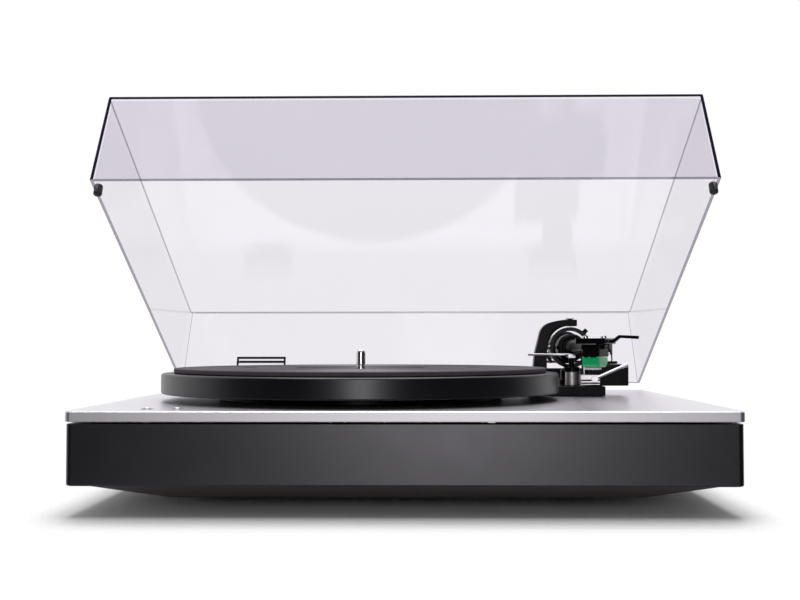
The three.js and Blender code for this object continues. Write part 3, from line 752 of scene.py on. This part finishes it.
def arch_web(name, start, end):
    """A thin plate that narrows the gap between the arch and the ring, from start to end degrees."""
    middle = (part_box("gimbal_ring")[0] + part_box("gimbal_ring")[1]) / 2
    inner, outer, front, back = 0.0187, 0.0216, 0.0024, 0.0050
    steps = 24
    work = bmesh.new()
    rings = []
    for i in range(steps + 1):
        angle = math.radians(start + (end - start) * i / steps)
        corners = ((inner, front), (outer, front), (outer, back), (inner, back))
        rings.append([work.verts.new((r * math.cos(angle), y, r * math.sin(angle))) for r, y in corners])
    for low, high in zip(rings, rings[1:]):
        for i in range(4):
            j = (i + 1) % 4
            work.faces.new((low[i], low[j], high[j], high[i]))
    work.faces.new(rings[0])
    work.faces.new(rings[-1])
    bmesh.ops.recalc_face_normals(work, faces=work.faces)
    mesh = bpy.data.meshes.new(name)
    work.to_mesh(mesh)
    work.free()
    smooth(mesh, 30)
    web = link(name, mesh, BLACK_METAL, "chassis", Matrix.Translation(middle))
    bevel(web, 0.0002)
    level(web)


def make_lift_collar():
    """The black collar on the lift's cylinder and the black sleeve on its stem."""
    low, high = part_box("lift_cylinder")
    middle = (low + high) / 2
    collar = lathe("lift_collar", rounded([
        (0.0028, 0.0001), (0.0066, 0.0001), (0.0066, 0.0036), (0.0052, 0.0041), (0.0028, 0.0041),
        (0.0028, 0.0001),
    ], 0.0003)[:-1], BLACK_METAL, "chassis", place((middle.x, middle.y, high.z)), 64)
    sleeve = lathe("lift_sleeve", rounded([
        (0.00222, 0), (0.00245, 0), (0.00245, 0.0112), (0.00222, 0.0112), (0.00222, 0),
    ], 0.0001)[:-1], BLACK_METAL, BODY_OF["lift_bar"], place((middle.x, middle.y, high.z + 0.0002)), 48)


# Tonearm.
ARM = Matrix.Translation(PIVOT) @ Matrix.Rotation(ARM_TURN, 4, "Z")
HEAD = ARM @ Matrix.Translation((0, -ARM_LENGTH, 0)) @ Matrix.Rotation(-HEAD_OFFSET, 4, "Z")
BEND = Vector((0.032 * math.sin(HEAD_OFFSET), 0.032 * math.cos(HEAD_OFFSET) - ARM_LENGTH, 0))
TUBE_TURN = math.atan2(BEND.x, -BEND.y)
TUBE_FRAME = ARM @ Matrix.Rotation(TUBE_TURN, 4, "Z")


def make_arm():
    refined("gimbal_ring", BLACK_METAL, 0.0004, 3)
    knob_at = ARM @ Matrix.Translation((-0.0171, -0.0010, 0.0012)) @ TO_LEFT
    knob = lathe("gimbal_side_screw", rounded([
        (0, 0), (0.0030, 0), (0.0030, 0.0010), (0.0022, 0.0012), (0.0022, 0.0020), (0.0030, 0.0022),
        (0.0030, 0.0034), (0.0010, 0.0036), (0, 0.0034),
    ], 0.0002), BRIGHT, BODY_OF["gimbal_ring"], knob_at, 48)
    housing = lathe("arm_bearing_housing_piece", rounded([
        (0, -0.010), (0.0108, -0.010), (0.0118, -0.009), (0.0118, 0.002), (0.0113, 0.0026),
        (0.0118, 0.0032), (0.0118, 0.011), (0.0106, 0.013), (0.0085, 0.013), (0.0082, 0.0124), (0, 0.0124),
    ], 0.0003), BLACK_METAL, "tonearm", TUBE_FRAME @ TO_FRONT, 96)
    stands_for(housing, "arm_bearing_housing")
    length = BEND.length
    tube = lathe("arm_tube_piece", rounded([
        (0, 0.01335), (0.0066, 0.01335), (0.0066, 0.0235), (0.0062, 0.0245), (0.0044, 0.029), (0.004, 0.06),
        (0.0038, length - 0.014), (0.004, length - 0.0135), (0.004, length - 0.004), (0, length - 0.004),
    ], 0.0006), TUBE, "tonearm", TUBE_FRAME @ TO_FRONT, 64)
    stands_for(tube, "arm_tube")
    refined("rear_stub", TUBE, 0.0002)
    make_counterweight()
    refined("headshell", BLACK_METAL, 0.0005, 3)
    refined("finger_lift", BLACK_METAL, 0.0005, 3)
    refined("cartridge_body", PLASTIC, 0.0005, 3)
    refined("stylus_holder", GREEN, 0.0006, 3)
    refined("cantilever", STEEL, 0.0001)
    make_head_details()


def make_counterweight():
    """A turned weight with one groove, on the stub behind the pivot."""
    low, high = 0.027, 0.050
    bore = 0.00445
    profile = rounded([
        (bore, low), (0.0128, low), (0.0142, low + 0.0014), (0.0142, low + 0.006), (0.0136, low + 0.0066),
        (0.0136, low + 0.0074), (0.0142, low + 0.008), (0.0142, high - 0.0014), (0.0128, high),
        (bore, high), (bore, low),
    ], 0.0004)[:-1]
    weight = lathe("counterweight_piece", profile, BLACK_METAL, BODY_OF["counterweight"],
                   TUBE_FRAME @ TO_BACK, 96)
    stands_for(weight, "counterweight")


def make_head_details():
    for side in (-1, 1):
        name = "left" if side < 0 else "right"
        head = screw(f"cartridge_screw_{name}", 0.0021, 0.0016, STEEL, "tonearm",
                     HEAD @ place((side * 0.0064, 0.005, 0.0071)))
    guard = block("stylus_guard", (-0.0048, -0.0026, -0.01435), (0.0048, 0.005, -0.0130), WHITE, "tonearm",
                  HEAD, 0.0003)
    bright = block("cartridge_pin_plate", (0.0061, 0.0146, -0.0048), (0.0071, 0.0174, -0.0026), NICKEL,
                   "tonearm", HEAD, 0.0002)
    colours = (SOCKET_RED, SOCKET_WHITE, GREEN, PLASTIC)
    for i, colour in enumerate(colours):
        x = -0.0042 + i * 0.0028
        lead = wire(f"head_lead_{i + 1}", [
            (x, 0.0178, -0.0032), (x, 0.0215, -0.0042), (x * 0.9, 0.0245, -0.0020),
            (x * 0.6, 0.0268, -0.0002),
        ], 0.00035, colour, "tonearm", HEAD)
    loop = wire("ground_loop", [
        (0.0062, 0.006, 0.0015), (0.0100, 0.008, 0.0012), (0.0106, 0.011, -0.0060),
        (0.0098, 0.0135, -0.0105), (0.0064, 0.0135, -0.0108),
    ], 0.00045, PLASTIC, "tonearm", HEAD)


# Floor, light and picture settings.
def make_floor():
    """Pale paper that fades out just beyond the machine's shadow."""
    flat_half_width, flat_half_depth = 0.19, 0.165
    side_haste = 1.8
    fade_start, fade_end = 0.045, 0.105
    mesh = bpy.data.meshes.new("floor")
    work = bmesh.new()
    bmesh.ops.create_circle(work, cap_ends=True, radius=0.6, segments=96)
    work.to_mesh(mesh)
    work.free()
    n = Nodes("floor_white")
    tint = n.blended(n.noise(3, 2), (0.86, 0.86, 0.86), (0.88, 0.88, 0.88))
    paper = n.add("BsdfPrincipled", {"Base Color": tint, "Roughness": 0.8})
    folded = n.add("VectorMath", {0: n.coordinates}, operation="ABSOLUTE").outputs[0]
    flat = (flat_half_width, flat_half_depth, 0)
    past = n.add("VectorMath", {0: folded, 1: flat}, operation="SUBTRACT").outputs[0]
    beyond = n.add("VectorMath", {0: past, 1: (0, 0, 0)}, operation="MAXIMUM").outputs[0]
    weighed = n.add("VectorMath", {0: beyond, 1: (side_haste, 1, 0)}, operation="MULTIPLY").outputs[0]
    away = n.add("VectorMath", {0: weighed}, operation="LENGTH").outputs["Value"]
    limits = {"Value": away, "From Min": fade_start, "From Max": fade_end}
    fade = n.add("MapRange", limits, interpolation_type="SMOOTHSTEP")
    clear = n.add("BsdfTransparent")
    mix = n.add("MixShader", {"Fac": fade.outputs["Result"], 1: paper.outputs[0], 2: clear.outputs[0]})
    mesh.materials.append(n.finish(mix.outputs[0]))
    floor = bpy.data.objects.new("floor", mesh)
    bpy.context.scene.collection.objects.link(floor)


def softbox(name, location, target, size, power):
    """A rectangular lamp at location, facing target, size in metres and power in watts."""
    data = bpy.data.lights.new(name, "AREA")
    data.shape = "RECTANGLE"
    data.size, data.size_y = size
    data.energy = power
    lamp = bpy.data.objects.new(name, data)
    lamp.location = location
    lamp.rotation_mode = "QUATERNION"
    lamp.rotation_quaternion = (Vector(target) - Vector(location)).to_track_quat("-Z", "Y")
    bpy.context.scene.collection.objects.link(lamp)


def make_surround():
    """A white surround behind the machine and to its left, a dim one in front, and white to the camera."""
    toward_left = -0.25
    dim_front, bright_back = 0.015, 0.92
    backdrop_white = 1.02
    world = bpy.data.worlds.new("studio")
    bpy.context.scene.world = world
    world.use_nodes = True
    tree = world.node_tree
    tree.nodes.clear()
    direction = tree.nodes.new("ShaderNodeTexCoord").outputs["Generated"]
    split = tree.nodes.new("ShaderNodeSeparateXYZ")
    tree.links.new(direction, split.inputs[0])
    turn = tree.nodes.new("ShaderNodeMath")
    turn.operation = "MULTIPLY_ADD"
    tree.links.new(split.outputs["X"], turn.inputs[0])
    turn.inputs[1].default_value = toward_left
    tree.links.new(split.outputs["Y"], turn.inputs[2])
    ramp = tree.nodes.new("ShaderNodeMapRange")
    ramp.interpolation_type = "SMOOTHSTEP"
    tree.links.new(turn.outputs[0], ramp.inputs["Value"])
    limits = {"From Min": -0.15, "From Max": 0.45, "To Min": dim_front, "To Max": bright_back}
    for socket, value in limits.items():
        ramp.inputs[socket].default_value = value
    seen = tree.nodes.new("ShaderNodeLightPath").outputs["Is Camera Ray"]
    choice = tree.nodes.new("ShaderNodeMix")
    tree.links.new(seen, choice.inputs["Factor"])
    tree.links.new(ramp.outputs["Result"], choice.inputs[2])
    choice.inputs[3].default_value = backdrop_white
    backdrop = tree.nodes.new("ShaderNodeBackground")
    backdrop.inputs["Color"].default_value = (1, 1, 1, 1)
    tree.links.new(choice.outputs[0], backdrop.inputs["Strength"])
    output = tree.nodes.new("ShaderNodeOutputWorld")
    tree.links.new(backdrop.outputs[0], output.inputs["Surface"])


def make_light():
    make_surround()
    softbox("top_box", (0.0, 0.42, 1.9), (0, 0.10, 0), (1.5, 1.6), 38)
    softbox("front_strip", (0.09, -2.4, 0.38), (0, 0, 0.05), (0.32, 1.2), 14)
    softbox("front_fill", (0, -1.6, 1.6), (0, -0.1, 0), (2.0, 1.0), 3.2)


make_camera()
make_plinth()
make_buttons()
make_platter()
make_rear()
make_lid()
make_hinges()
make_arm_mounting()
make_arm()
make_floor()
make_light()

scene = bpy.context.scene
scene.view_settings.view_transform = "Standard"
scene.view_settings.look = "None"
scene.cycles.use_denoising = True
scene.cycles.transparent_max_bounces = 32
